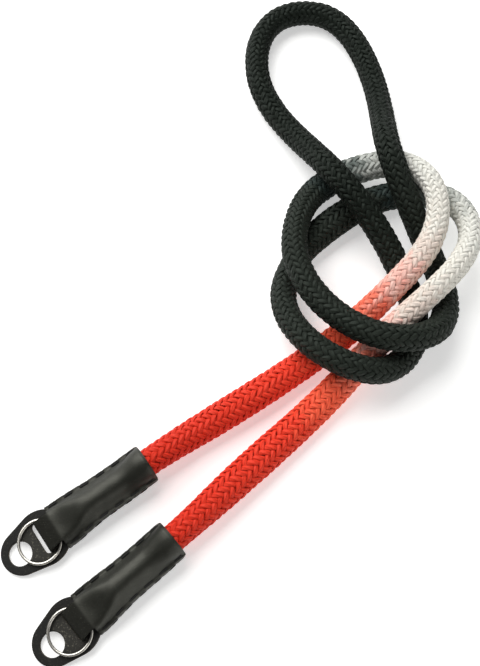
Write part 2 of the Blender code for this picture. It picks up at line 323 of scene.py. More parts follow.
@dataclass(frozen=True)
class DyedYarn:
    """Yarn, dyed from the rope's two ends: red, coral, white, grey, then a green black."""

    reach: float = 420 * MM
    stops: tuple[tuple[float, str], ...] = (
        (0.0, "d62d19"),
        (58.0, "e93a24"),
        (78.0, "fb6243"),
        (94.0, "f97c63"),
        (108.0, "f3bfb2"),
        (120.0, "e6d6ca"),
        (134.0, "e5e1d7"),
        (160.0, "e0dfd7"),
        (176.0, "bcbeb8"),
        (187.0, "5f6662"),
        (197.0, "2a3432"),
        (209.0, "1d211c"),
        (345.0, "1d211c"),
        (390.0, "0a0f0a"),
    )
    wander: float = 12 * MM
    mottle: float = 28 * MM
    fleck_scale: tuple[float, float] = (40.0, 220.0)
    yarns: int = 5
    twist: float = 0.9
    fibre_scale: tuple[float, float] = (2.2, 60.0)
    side_shade: float = 0.5
    under_shade: float = 0.6
    depth: float = 0.16 * MM
    roughness: float = 0.62
    gloss: float = 0.24
    sheen: str = "eefff0"

    def material(self) -> bpy.types.Material:
        """The yarn's material, which reads how far along the rope and across the strand a point lies, and
        paints shade on the strands' sides, in the yarn grooves and where strands pass under.

        Returns:
            The material.
        """
        s = Shading("dyed_yarn")
        along = s.attribute("along")
        by_strand, by_length = self.fleck_scale
        fleck = s.noise(s.vector(s.attribute("shade") * by_strand, along * by_length), 1.0, 1.0)
        dye = along + (s.noise(s.place(), 0.25, 3.0) - 0.5) * self.wander + (fleck - 0.5) * self.mottle
        stops = [(mm * MM / self.reach, srgb(code)) for mm, code in self.stops]
        weave = s.node("ShaderNodeUVMap", {"uv_map": "weave"})
        run, across = (s.node("ShaderNodeSeparateXYZ", None, {0: weave}, output=axis) for axis in (0, 1))
        ridge = abs((across * (math.pi * self.yarns) + run * self.twist).sine()) ** 0.6
        by_run, by_turn = self.fibre_scale
        fibre = s.noise(s.vector(run * by_run, across * by_turn), 1.0, 3.0, 0.6)
        # Painted shade: each strand's sides and underside are coloured darker than its top.
        painted_side_shade = (across * (2 * math.pi)).sine().between(-0.3, 0.9, self.side_shade, 1.0)
        # Painted shade: strands are coloured darker where they pass under others.
        dive = s.attribute("dive").between(0.3, 1.0, 1.0, self.under_shade)
        # Colour multiplier: painted shade in the grooves between yarns, on the strands' sides and underside,
        # and where strands pass under; the fibre noise is random tone.
        shade = (0.8 + ridge * 0.2 + fibre * 0.14) * painted_side_shade * dive
        return s.finish(
            Base_Color=s.mix(1.0, s.ramp(dye / self.reach, stops), s.grey(shade), "MULTIPLY"),
            Roughness=self.roughness,
            Specular_IOR_Level=self.gloss,
            Specular_Tint=srgb(self.sheen),
            Normal=s.bump(ridge * 0.8 + fibre * 0.35, self.depth),
        )


@dataclass(frozen=True)
class SmoothLeather:
    """Smooth black leather: a fine grain, a broad soft sheen, a little wear and dust, and a rougher tongue
    painted darker as shade.
    """

    base: str = "131410"
    worn: str = "20211c"
    # Painted shade: the tongue's darker colour.
    tongue: str = "0b0b08"
    dust: str = "55564c"
    sheen: str = "fffff0"
    roughness: float = 0.45
    dulled: float = 0.5
    gloss: float = 0.5
    scuff_run: tuple[float, float, float] = (0.35, 1.6, 1.0)
    grain_depth: float = 0.05 * MM
    cloud_depth: float = 0.06 * MM

    def material(self) -> bpy.types.Material:
        """The leather's outer side, which reads where the tongue is.

        Returns:
            The material.
        """
        s = Shading("smooth_leather")
        at = s.place()
        clouds = s.noise(at, 0.18, 3.0)
        scuffs = s.noise(s.stretched(at, self.scuff_run), 1.1, 4.0)
        worn = scuffs.between(0.62, 0.75) * 0.5 + clouds.between(0.45, 0.7) * 0.3
        dust = s.noise(at, 3.4, 2.0, 0.6).between(0.64, 0.74) * 0.5
        tongue = s.attribute("tongue")
        colour = s.mix(worn, srgb(self.base), srgb(self.worn))
        # The tongue is painted darker as shade; the dust is real dust.
        for share, code in ((tongue, self.tongue), (dust, self.dust)):
            colour = s.mix(share, colour, srgb(code))
        fine = s.bump(s.cells(at, 2.4) * 0.6 + s.noise(at, 5.0, 3.0, 0.6) * 0.6, self.grain_depth)
        return s.finish(
            Base_Color=colour,
            Roughness=self.roughness + (clouds - 0.5) * 0.12 + (scuffs - 0.5) * 0.22 + tongue * self.dulled,
            Specular_IOR_Level=self.gloss,
            Specular_Tint=srgb(self.sheen),
            Normal=s.bump(clouds, self.cloud_depth, fine),
        )


@dataclass(frozen=True)
class FleshSide:
    """The guards' matt, speckled leather, lighter where the ring has rubbed it."""

    base: str = "181713"
    rubbed: str = "3a3831"
    edge: str = "54493c"
    gloss: float = 0.35
    depth: float = 0.09 * MM

    def material(self) -> bpy.types.Material:
        """The leather's inner side and its cut edge.

        Returns:
            The material.
        """
        s = Shading("flesh_side_leather")
        at = s.place()
        speck = s.noise(at, 1.5, 3.0, 0.7)
        clouds = s.noise(at, 0.4, 2.0)
        rubbed = s.attribute("rubbed") * (0.55 + clouds * 0.6)
        colour = s.mix(rubbed, srgb(self.base), srgb(self.rubbed))
        colour = s.mix(s.attribute("cut"), colour, srgb(self.edge))
        light = 0.6 + speck.between(0.54, 0.72) * 3.8
        return s.finish(
            Base_Color=s.mix(1.0, colour, s.grey(light), "MULTIPLY"),
            Roughness=0.55 + speck * 0.3,
            Specular_IOR_Level=self.gloss,
            Normal=s.bump(speck + s.noise(at, 9.0, 2.0) * 0.6, self.depth),
        )


@dataclass(frozen=True)
class WaxedThread:
    """Black waxed thread, a little uneven."""

    base: str = "060605"
    paler: str = "0e0e0c"
    roughness: float = 0.7
    depth: float = 0.05 * MM

    def material(self) -> bpy.types.Material:
        """The thread's material.

        Returns:
            The material.
        """
        s = Shading("waxed_thread")
        uneven = s.noise(s.place(), 4.0, 2.0)
        colour = s.mix(uneven, srgb(self.base), srgb(self.paler))
        return s.finish(Base_Color=colour, Roughness=self.roughness, Normal=s.bump(uneven, self.depth))


@dataclass(frozen=True)
class BrightSteel:
    """Plated steel wire, bright and a little cloudy, with a very fine grain."""

    base: str = "d9d6cf"
    dull: str = "bdb8ad"
    roughness: float = 0.24
    depth: float = 0.002 * MM

    def material(self) -> bpy.types.Material:
        """The wire's material.

        Returns:
            The material.
        """
        s = Shading("bright_steel")
        at = s.place()
        cloud = s.noise(at, 0.8, 3.0)
        return s.finish(
            Base_Color=s.mix(cloud, srgb(self.base), srgb(self.dull)),
            Metallic=1.0,
            Roughness=self.roughness + cloud * 0.1,
            Normal=s.bump(s.noise(at, 6.0, 2.0), self.depth),
        )


@dataclass(frozen=True)
class PaleFloor:
    """A pale table with a faint light of its own, as bright as the photo's white."""

    base: str = "f4f4f2"
    tint: str = "f0f0ee"
    light: str = "ffffff"
    glow: float = 0.45
    roughness: float = 0.9
    gloss: float = 0.1

    def material(self) -> bpy.types.Material:
        """The floor's material.

        Returns:
            The material.
        """
        s = Shading("pale_floor")
        return s.finish(
            Base_Color=s.mix(s.noise(s.place(), 0.01, 2.0), srgb(self.base), srgb(self.tint)),
            Roughness=self.roughness,
            Specular_IOR_Level=self.gloss,
            Emission_Color=srgb(self.light),
            Emission_Strength=self.glow,
        )


@dataclass
class Part:
    """Points and faces of one piece, gathered before they become a mesh."""

    points: list[np.ndarray] = field(default_factory=list)
    faces: list[list[int]] = field(default_factory=list)
    values: dict[str, list[np.ndarray]] = field(default_factory=dict)
    weave: list[np.ndarray] = field(default_factory=list)
    count: int = 0

    def add_tube(self, rings: np.ndarray, weave: np.ndarray | None = None, **values: np.ndarray) -> None:
        """Adds a closed tube with capped ends.

        Args:
            rings: Points by ring and place round it.
            weave: How far along the tube each ring lies, for the weave's map.
            values: A number for each ring, by name.
        """
        rows, around, _ = rings.shape
        ids = self.count + np.arange(rows * around).reshape(rows, around)
        after = np.roll(ids, -1, axis=1)
        quads = np.stack([ids[:-1], after[:-1], after[1:], ids[1:]], axis=-1).reshape(-1, 4)
        self.points.append(rings.reshape(-1, 3))
        self.faces += quads.tolist()
        self.faces += [ids[0, ::-1].tolist(), ids[-1].tolist()]
        for name, value in values.items():
            self.values.setdefault(name, []).append(np.repeat(value, around))
        if weave is not None:
            turn = np.arange(around) / around
            near, far, low = np.broadcast_arrays(weave[:-1, None], weave[1:, None], turn)
            high = low + 1 / around
            corners = np.stack([near, low, near, high, far, high, far, low], axis=-1)
            self.weave += [corners.reshape(-1, 2), np.zeros((2 * around, 2))]
        self.count += rows * around

    def add_sheet(self, grid: np.ndarray) -> np.ndarray:
        """Adds an open grid of points.

        Args:
            grid: Points by row and column.

        Returns:
            The points' numbers, by row and column.
        """
        rows, columns, _ = grid.shape
        ids = self.count + np.arange(rows * columns).reshape(rows, columns)
        self.points.append(grid.reshape(-1, 3))
        self.count += rows * columns
        self.join_rows(ids)
        return ids

    def join_rows(self, ids: np.ndarray) -> None:
        """Adds quads between neighbouring rows of points.

        Args:
            ids: The points' numbers, by row and column.
        """
        quads = np.stack([ids[:-1, :-1], ids[1:, :-1], ids[1:, 1:], ids[:-1, 1:]], axis=-1)
        self.faces += quads.reshape(-1, 4).tolist()

    def mesh(self, name: str) -> bpy.types.Mesh:
        """Makes the mesh.

        Args:
            name: The mesh's name.

        Returns:
            A smooth mesh with the values as attributes.
        """
        made = bpy.data.meshes.new(name)
        made.from_pydata(np.concatenate(self.points).tolist(), [], self.faces)
        for key, value in self.values.items():
            made.attributes.new(key, "FLOAT", "POINT").data.foreach_set("value", np.concatenate(value))
        if self.weave:
            layer = made.uv_layers.new(name="weave")
            layer.data.foreach_set("uv", np.concatenate(self.weave).ravel())
        made.shade_smooth()
        return made


def linked(name: str, data: bpy.types.ID) -> bpy.types.Object:
    """A new object in the scene.

    Args:
        name: Its name.
        data: What it shows: a mesh, a curve, a light or a camera.

    Returns:
        The object.
    """
    made = bpy.data.objects.new(name, data)
    bpy.context.scene.collection.objects.link(made)
    return made


def show(
    name: str, mesh: bpy.types.Mesh, material: bpy.types.Material, slot: str, *stands_for: str
) -> bpy.types.Object:
    """Puts a mesh in the scene as a piece of the strap.

    Args:
        name: The piece's name.
        mesh: Its mesh, already in place.
        material: Its finish.
        slot: The record's slot that the finish belongs to; not used.
        stands_for: CAD nodes that it replaces.

    Returns:
        The piece.
    """
    piece = linked(name, mesh)
    mesh.materials.clear()
    mesh.materials.append(material)
    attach(piece, BODY)
    if stands_for:
        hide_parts(*stands_for)
    log.info("%s: %d triangles", name, sum(len(p.vertices) - 2 for p in mesh.polygons))
    return piece


@dataclass(frozen=True)
class StrapEnd:
    """Where one leather end lies, how far its guard is drawn out, and how late the dye fades in its lead.

    Its own +X runs from the sleeve's mouth to the ring, and +Y across. A dye_lag below zero is an early fade.
    """

    number: int
    x: float
    y: float
    heading: float
    slack: float
    dye_lag: float

    def matrix(self) -> Matrix:
        """From the end's own frame to the strap's."""
        return Matrix.Translation((self.x, self.y, 0)) @ Matrix.Rotation(self.heading, 4, "Z")

    def direction(self) -> np.ndarray:
        """The way from the mouth to the ring."""
        return np.array((math.cos(self.heading), math.sin(self.heading), 0.0))

    def to_strap(self, points: np.ndarray) -> np.ndarray:
        """Moves points from the end's own frame to the strap's.

        Args:
            points: Any array whose last axis is x, y and z.

        Returns:
            The moved points.
        """
        m = np.array(self.matrix())
        return points @ m[:3, :3].T + m[:3, 3]


END_1 = StrapEnd(1, 16.9 * MM, 29.1 * MM, math.radians(-144.5), 0.6 * MM, 0.5 * MM)
END_2 = StrapEnd(2, 26.0 * MM, 4.6 * MM, math.radians(-139.2), 0.0, -8.0 * MM)

ROPE_D = 9.5 * MM
ROPE_END_D = 6.6 * MM
GAP = 0.3 * MM
LEATHER = 1.2 * MM
MOUTH_R = ROPE_D / 2 + GAP + LEATHER
SNUG_R = ROPE_END_D / 2 + GAP + LEATHER
SLEEVE_L = 35.5 * MM
SEAM_END = 2 * LEATHER + GAP
TONGUE_REACH = 5.8 * MM
FOLD_X = SLEEVE_L + TONGUE_REACH
GUARD_T = 1.3 * MM
GUARD_L = 19.5 * MM
GUARD_TIP_X = SLEEVE_L + GAP + GUARD_L
GUARD_TILT = math.atan2(LEATHER + GAP, GUARD_TIP_X - FOLD_X)
RING_OD = 14.8 * MM
RING_BACK_X = SLEEVE_L - 0.75 * MM
RING_X = RING_BACK_X + RING_OD / 2
RING_ASIDE = 0.75 * MM
WIRE_W = 0.85 * MM
WIRE_H = 0.5 * MM
TURN_GAP = 0.06 * MM
RING_H = 2 * WIRE_H + TURN_GAP
TONGUE_TOP = (
    (GUARD_TIP_X + max(END_1.slack, END_2.slack) - RING_BACK_X) * math.tan(GUARD_TILT)
    + (GUARD_T + GAP + RING_H) / math.cos(GUARD_TILT) + GAP + LEATHER
)

# The rope's route from mouth 1 to mouth 2, in millimetres: x, y and how far it is lifted off the floor
ROUTE = [
    (34.0, 40.9, 0.0),
    (52.3, 52.4, 0.9),
    (90.3, 80.5, 3.2),
    (98.1, 87.1, 7.9),
    (116.3, 111.3, 12.9),
    (115.3, 130.4, 11.8),
    (103.5, 141.6, 4.0),
    (78.3, 134.1, 0.5),
    (67.5, 114.0, 7.7),
    (66.7, 100.7, 10.9),
    (80.5, 77.0, 13.1),
    (99.7, 68.4, 14.2),
    (115.0, 74.4, 8.0),
    (119.7, 90.4, 1.3),
    (115.2, 107.7, 1.0),
    (108.9, 120.1, 8.1),
    (101.8, 138.8, 14.3),
    (101.1, 161.8, 5.3),
    (95.5, 194.8, 0.0),
    (80.5, 213.1, 0.1),
    (63.8, 211.6, 0.2),
    (54.7, 182.3, 0.2),
    (70.0, 152.4, 3.0),
    (82.2, 131.7, 12.1),
    (90.7, 120.6, 10.3),
    (104.2, 99.3, 1.9),
    (108.1, 73.1, 0.8),
    (95.6, 59.4, 7.5),
    (83.9, 59.6, 11.8),
    (62.8, 85.1, 4.0),
    (66.4, 101.5, 0.2),
    (88.1, 123.3, 1.1),
    (107.5, 130.8, 0.1),
    (125.7, 123.3, 5.6),
    (129.1, 111.0, 9.0),
    (112.5, 85.5, 12.2),
    (95.3, 70.8, 4.1),
    (78.8, 53.8, 0.3),
    (48.5, 25.4, 0.8),
]

# How wide the rope lies, in millimetres: distance from the mouth, then the width in lead 1 and in lead 2
GIRTH = [
    (0, 9.4, 9.4),
    (22, 10.8, 11.2),
    (60, 10.8, 11.4),
    (84, 10.4, 10.6),
    (104, 9.3, 9.2),
    (122, 9.0, 8.3),
    (140, 8.1, 8.3),
    (156, 8.4, 8.6),
    (180, 11.2, 10.4),
    (202, 10.9, 11.6),
    (222, 9.4, 11.7),
    (238, 9.4, 9.4),
]


@dataclass
class Sleeve:
    """The stitched leather end: one strip, folded through the ring and the guard and sewn along both edges."""

    end: StrapEnd
    half_width: float = 6.75 * MM
    end_half_width: float = 7.8 * MM
    end_proud: float = 0.24 * MM
    end_square: float = 5.0
    mouth_flare: float = 12.0 * MM
    mouth_corner: float = 1.8 * MM
    mouth_square: float = 2.0
    lip: float = 0.35 * MM
    lip_l: float = 1.1 * MM
    grip: float = 23.0 * MM
    seam_fillet: float = 0.8 * MM
    flange: float = 1.3 * MM
    drape_steps: int = 30
    tongue_w: float = 10.6 * MM
    tongue_shoulder: float = 0.9 * MM
    tongue_columns: int = 27
    side_columns: int = 9
    corner_rows: int = 8
    row: float = 0.45 * MM
    wall: float = 1.15 * MM
    edge_round: float = 0.28 * MM
    ripple: float = 0.03 * MM
    ripple_waves: tuple[float, ...] = (9.5, 7.0, 5.3, 11.0)
    stitch_pitch: float = 6.0 * MM
    stitch_first: float = 2.9 * MM
    stitch_run: float = 3.1 * MM
    stitch_inset: float = 0.75 * MM
    stitch_pull: float = 0.3 * MM
    stitch_nip: float = 0.16 * MM
    stitch_soft: float = 0.5 * MM
    stitch_share: float = 0.42
    thread_r: float = 0.3 * MM
    thread_inset: float = 0.05 * MM
    thread_dip: float = 0.7 * MM
    thread_proud: float = 0.08 * MM
    thread_sunk: float = 0.05 * MM
    thread_step: float = 0.25 * MM
    thread_sides: int = 8

    def _flat(self, x: np.ndarray) -> np.ndarray:
        """How far the section has gone from round to flat at x, from 0 to 1."""
        return smoothstep((x - self.grip) / (SLEEVE_L - self.grip))

    def _radius(self, x: np.ndarray) -> np.ndarray:
        """The round section's outer radius at x."""
        return blend(MOUTH_R, SNUG_R, smoothstep(x / self.mouth_flare))

    def seam(self, x: np.ndarray) -> np.ndarray:
        """The height of the seam between the front and the back panel."""
        return blend(self._radius(x), SEAM_END, self._flat(x))

    def half(self, x: np.ndarray) -> np.ndarray:
        """Half the sleeve's width, with a rounded mouth and a flared end.

        Args:
            x: Distances from the mouth.

        Returns:
            The half width at each.
        """
        corner = np.clip(x / self.mouth_corner, 0, 1)
        half = blend(MOUTH_R, self.half_width, np.sqrt(1 - (1 - corner) ** 2))
        return blend(half, self.end_half_width, smoothstep((x / SLEEVE_L - 0.5) * 2))

    def _dome(self, x: np.ndarray, across: np.ndarray, height: np.ndarray) -> np.ndarray:
        """A crowned section of the height, which falls past the dome's edge.

        Args:
            x: Distances from the mouth.
            across: Distances from the middle.
            height: The crown's height.

        Returns:
            The height at each point.
        """
        flat = self._flat(x)
        share = across / blend(self._radius(x), self.tongue_w / 2 + self.tongue_shoulder, flat)
        square = blend(self.mouth_square, self.end_square, flat)
        inside = height * (1 - np.minimum(share, 1) ** square) ** (1 / square)
        return np.where(share >= 1, (1 - share) * height, inside)

    def _taut(self, x: np.ndarray, y: np.ndarray, height: np.ndarray) -> np.ndarray:
        """Leather over the dome, drawn straight from it to the flat seam's inner edge.

        Args:
            x: Distances from the mouth.
            y: Places across, to either side.
            height: The dome's height.

        Returns:
            The leather's height at each point.
        """
        across = np.abs(y)
        edge = self.half(x) - self.flange
        highest = self._dome(x, across, height)
        for i in range(self.drape_steps):
            foot = across * i / self.drape_steps
            run = (across - foot) / np.maximum(edge - foot, TINY)
            drawn = blend(self._dome(x, foot, height), LEATHER, np.minimum(run, 1.0))
            highest = np.where(across < edge, np.maximum(highest, drawn), highest)
        return soft_max(highest, LEATHER, self.seam_fillet)

    def _stitched(self, x: np.ndarray, phase: float) -> np.ndarray:
        """How near x is to a stitch that shows on one panel.

        Args:
            x: Distances from the mouth.
            phase: How much later this panel's stitches come than the front's.

        Returns:
            Shares from 0 to 1.
        """
        pitch = self.stitch_pitch
        off = (x - self.stitch_first - phase + pitch / 2) % pitch - pitch / 2
        near = 1 - smoothstep((np.abs(off) - self.stitch_run * self.stitch_share) / self.stitch_soft)
        past_mouth = smoothstep((x - 0.6 * MM) / (0.6 * MM))
        past_last = smoothstep((x - SLEEVE_L + 1.2 * MM) / (0.8 * MM))
        return near * (past_mouth * (1 - past_last))

    def _pull(self, x: np.ndarray, y: np.ndarray, phase: float) -> np.ndarray:
        """How far the stitches of the panel with this phase sink the leather at each point."""
        across = np.exp(-((np.abs(y) - self.half(x) + self.stitch_inset) / self.stitch_soft) ** 2)
        return self.stitch_pull * across * self._stitched(x, phase)

    def _ripple(self, x: np.ndarray, y: np.ndarray) -> np.ndarray:
        """Slow waves, others at each end, that keep the leather from looking pressed.

        Args:
            x: Distances from the mouth.
            y: Places across.

        Returns:
            The rise at each point.
        """
        n = self.end.number
        along, across, fast, slant = (2 * math.pi / (length * MM) for length in self.ripple_waves)
        crossed = np.sin(along * x + 1.3 * n) * np.sin(across * y + 0.6 * n)
        return self.ripple * (crossed + 0.8 * np.sin(fast * x - slant * y + 2.1 * n))

    def front(self, x: np.ndarray, y: np.ndarray) -> np.ndarray:
        """The front panel's outer height at each point, with its stitches' dents and its waves."""
        crest = blend(self._radius(x), TONGUE_TOP - SEAM_END, self._flat(x))
        return self.seam(x) + self._taut(x, y, crest) - self._pull(x, y, 0.0) + self._ripple(x, y)

    def back(self, x: np.ndarray, y: np.ndarray) -> np.ndarray:
        """The back panel's outer height at each point, never below the floor, with its stitches' dents."""
        seam = self.seam(x)
        return np.maximum(0.0, seam - self._taut(x, y, seam)) + self._pull(x, y, self.stitch_pitch / 2)

    def _grid(self) -> tuple[np.ndarray, np.ndarray]:
        """Where the panels' points lie.

        Returns:
            Their distances from the mouth, and their places across as shares of the half width.
        """
        tongue = self.tongue_w / 2 / self.end_half_width
        side = np.linspace(-1, -tongue, self.side_columns)
        middle = np.linspace(-tongue, tongue, self.tongue_columns)[1:-1]
        last = SLEEVE_L + self.end_proud
        rows = round((last - self.mouth_corner) / self.row) + 1
        corner = np.linspace(0, self.mouth_corner, self.corner_rows + 1)[:-1]
        along = np.concatenate([corner, np.linspace(self.mouth_corner, last, rows)])
        return np.meshgrid(along, np.concatenate([side, middle, -side[::-1]]), indexing="ij")

    def _fold(self) -> np.ndarray:
        """Side view of the tongue, from the sleeve's end over the fold and back under.

        Returns:
            Points as x and z.
        """
        knots = np.array([
            (SLEEVE_L + self.end_proud, TONGUE_TOP),
            (FOLD_X - 3.7 * MM, TONGUE_TOP - 0.02 * MM),
            (FOLD_X - 2.5 * MM, TONGUE_TOP - 0.35 * MM),
            (FOLD_X - 1.1 * MM, TONGUE_TOP - 1.1 * MM),
            (FOLD_X - 0.25 * MM, TONGUE_TOP - 2.3 * MM),
            (FOLD_X, TONGUE_TOP - 3.8 * MM),
            (FOLD_X - 0.1 * MM, 1.5 * MM),
            (FOLD_X - 0.7 * MM, 0.35 * MM),
            (FOLD_X - 1.9 * MM, 0.0),
            (SLEEVE_L + self.end_proud, 0.0),
        ])
        flat = np.column_stack([knots, np.zeros(len(knots))])
        fine = curve_through(flat, (1.0, 0.0, 0.0), (-1.0, 0.0, 0.0), 12)
        return even(fine, self.row)[1:-1, :2]

    def _tongue(self, top: np.ndarray, under: np.ndarray) -> np.ndarray:
        """The tongue's outer surface, from one panel to the other.

        Args:
            top: The front panel's last points across the tongue.
            under: The back panel's.

        Returns:
            Points by row and column.
        """
        fold = self._fold()
        travel = np.linspace(0, 1, len(fold))[:, None]
        fall = (top[:, 2] - TONGUE_TOP) * (1 - smoothstep(travel / 0.3))
        z = fold[:, 1:] + fall + under[:, 2] * smoothstep(travel * 5 - 4)
        return np.stack(np.broadcast_arrays(fold[:, :1], top[:, 1], z), axis=-1)

    def strip(self) -> Part:
        """The whole strip's outer surface: front panel, tongue, fold and back panel.

        Returns:
            The surface, in the end's own frame.
        """
        x, v = self._grid()
        nip = self.stitch_nip * self._stitched(x, 0.0) * smoothstep((np.abs(v) - 0.7) / 0.3)
        y = v * (self.half(x) - nip)
        lip = self.lip * (1 - smoothstep(x / self.lip_l))
        front = np.stack([x, y, self.front(x, y) - lip], axis=-1)
        back = np.stack([x, y, self.back(x, y) + lip], axis=-1)
        inner = slice(self.side_columns - 1, 1 - self.side_columns)
        part = Part()
        first = part.add_sheet(front)
        middle = part.add_sheet(self._tongue(front[-1, inner], back[-1, inner]))
        last = part.add_sheet(back[::-1])
        part.join_rows(np.stack([first[-1, inner], middle[0]]))
        part.join_rows(np.stack([middle[-1], last[0, inner]]))
        return part

    def leather(self, material: bpy.types.Material) -> bpy.types.Object:
        """Gives the strip its wall and rounds its cut edges.

        Args:
            material: The leather.

        Returns:
            The piece.
        """
        name = f"leather_sleeve_{self.end.number}"
        mesh = self.strip().mesh(name)
        mesh.transform(self.end.matrix())
        carrier = linked(name, mesh)
        wall = carrier.modifiers.new("wall", "SOLIDIFY")
        wall.thickness = self.wall
        wall.offset = -1
        wall.use_even_offset = False
        rounding = carrier.modifiers.new("rounding", "BEVEL")
        rounding.width = self.edge_round
        rounding.segments = 2
        rounding.limit_method = "ANGLE"
        rounding.angle_limit = math.radians(60)
        solid = applied(carrier)
        solid.shade_smooth()
        self._mark_tongue(solid)
        return show(name, solid, material, "leather", f"sleeve_{self.end.number}")

    def _mark_tongue(self, solid: bpy.types.Mesh) -> None:
        """Tells the material where the tongue is, as the attribute tongue, which roughens it and paints it
        darker as shade.

        Args:
            solid: The sleeve's mesh, in the strap's frame.
        """
        back = self.end.matrix().inverted()
        x = np.array([(back @ v.co).x for v in solid.vertices])
        mark = solid.attributes.new("tongue", "FLOAT", "POINT")
        mark.data.foreach_set("value", smoothstep((x - SLEEVE_L + 0.6 * MM) / (1.6 * MM)))

    def _stitches(self) -> np.ndarray:
        """The running stitch's points along one edge, by turns on the front and on the back.

        Returns:
            Three rows: distances from the mouth, 0 on the front and 1 on the back, and the thread's depth.
        """
        over = self.stitch_run, (-0.5, -0.46, -0.3, 0.0, 0.3, 0.46, 0.5), -self.thread_proud
        under = self.stitch_pitch - self.stitch_run, (-0.5, -0.4, 0.0, 0.4, 0.5), self.thread_sunk
        count = int((SLEEVE_L - self.stitch_first) / self.stitch_pitch) + 1
        points = []
        for i in range(2 * count - 1):
            run, shares, sunk = under if i % 2 else over
            for share in shares:
                depth = self.thread_dip if abs(share) == 0.5 else sunk
                points.append((self.stitch_first + i * self.stitch_pitch / 2 + share * run, i % 2, depth))
        return np.array(points).T

    def thread(self, material: bpy.types.Material) -> bpy.types.Object:
        """One running stitch along each edge, in and out of both panels.

        Args:
            material: The thread.

        Returns:
            The piece, with both edges' threads.
        """
        part = Part()
        x, behind, sunk = self._stitches()
        for side in (-1, 1):
            y = side * (self.half(x) - self.stitch_inset - self.thread_inset)
            top = self.front(x, y) - sunk
            under = np.maximum(self.back(x, y) + sunk, self.thread_r)
            line = even(np.stack([x, y, np.where(behind, under, top)], axis=-1), self.thread_step)
            normals = steady_normals(line)
            sides = np.cross(tangents(line), normals)
            part.add_tube(rings_on(line, circle(self.thread_r, self.thread_sides), normals, sides))
        part.points = [self.end.to_strap(p) for p in part.points]
        name = f"edge_thread_{self.end.number}"
        return show(name, part.mesh(name), material, "leather")


def curve_through(points: np.ndarray, start: Sequence[float], end: Sequence[float], steps: int) -> np.ndarray:
    """A smooth curve through the points.

    Args:
        points: What it passes through, one a row.
        start: The direction in which it leaves the first.
        end: The direction in which it reaches the last.
        steps: Points made for each span.

    Returns:
        Points on the curve.
    """
    h = np.linalg.norm(np.diff(points, axis=0), axis=1)
    slope = np.diff(points, axis=0) / h[:, None]
    count = len(points)
    a = np.eye(count)
    b = np.zeros((count, 3))
    b[0] = start
    b[-1] = end
    for i in range(1, count - 1):
        a[i, i - 1:i + 2] = h[i], 2 * (h[i - 1] + h[i]), h[i - 1]
        b[i] = 3 * (h[i] * slope[i - 1] + h[i - 1] * slope[i])
    m = np.linalg.solve(a, b)
    t = (np.arange(steps) / steps)[:, None]
    made = [
        (1 + 2 * t) * (1 - t) ** 2 * points[i] + t * (1 - t) ** 2 * h[i] * m[i]
        + t * t * (3 - 2 * t) * points[i + 1] + t * t * (t - 1) * h[i] * m[i + 1]
        for i in range(count - 1)
    ]
    return np.concatenate([*made, points[-1:]])


def distances(line: np.ndarray) -> np.ndarray:
    """How far along the line each of its points lies."""
    return np.concatenate([[0], np.cumsum(np.linalg.norm(np.diff(line, axis=0), axis=1))])


def even(line: np.ndarray, step: float) -> np.ndarray:
    """The line again, with its points about a step apart.

    Args:
        line: Points, one a row; columns after the third are carried along.
        step: The distance wanted.

    Returns:
        The new points.
    """
    along = distances(line[:, :3])
    at = np.linspace(0, along[-1], round(along[-1] / step) + 1)
    return np.stack([np.interp(at, along, line[:, k]) for k in range(line.shape[1])], axis=-1)


def circle(radius: float, sides: int) -> np.ndarray:
    """Points round a circle, one a row."""
    a = 2 * math.pi * np.arange(sides) / sides
    return radius * np.stack([np.cos(a), np.sin(a)], axis=-1)


def waves(along: np.ndarray, lengths: Sequence[float], rng: np.random.Generator) -> np.ndarray:
    """The sum of sine waves, each begun at random.

    Args:
        along: Where to read them, in metres.
        lengths: Their lengths, in millimetres.
        rng: Draws each wave's start.

    Returns:
        The sum at each place.
    """
    return sum(np.sin(2 * math.pi * (along / (length * MM) + rng.random())) for length in lengths)


def tangents(line: np.ndarray) -> np.ndarray:
    """The direction of the line at each point."""
    return unit(np.gradient(line, axis=0))


def steady_normals(line: np.ndarray) -> np.ndarray:
    """Normals that turn with the line and never about it.

    Args:
        line: Points, one a row.

    Returns:
        A normal for each.
    """
    along = tangents(line)
    first = np.cross(along[0], (0.0, 0.0, 1.0))
    if np.linalg.norm(first) < 0.1:
        first = np.cross(along[0], (0.0, 1.0, 0.0))
    normals = [first / np.linalg.norm(first)]
    for i in range(len(line) - 1):
        step = line[i + 1] - line[i]
        size = step @ step
        moved = normals[-1] - 2 / size * (step @ normals[-1]) * step
        turned = along[i] - 2 / size * (step @ along[i]) * step
        twist = along[i + 1] - turned
        size = max(twist @ twist, 1e-18)
        normal = moved - 2 / size * (twist @ moved) * twist
        normals.append(normal / np.linalg.norm(normal))
    return np.array(normals)


def rings_on(line: np.ndarray, section: np.ndarray, across: np.ndarray, up: np.ndarray) -> np.ndarray:
    """A section set on each point of a line.

    Args:
        line: Points, one a row.
        section: The section's outline, one point a row, or one such outline for each point of the line.
        across: The section's first direction at each point.
        up: Its second.

    Returns:
        Rings of points.
    """
    return line[:, None] + section[..., :1] * across[:, None] + section[..., 1:] * up[:, None]


def applied(carrier: bpy.types.Object) -> bpy.types.Mesh:
    """The mesh of an object with its modifiers applied; the object is removed.

    Args:
        carrier: The object.

    Returns:
        The mesh.
    """
    ready = carrier.evaluated_get(bpy.context.evaluated_depsgraph_get())
    mesh = bpy.data.meshes.new_from_object(ready)
    bpy.data.objects.remove(carrier)
    return mesh


class Hand(Enum):
    """Which way a strand winds round the rope."""

    RIGHT = 1
    LEFT = -1


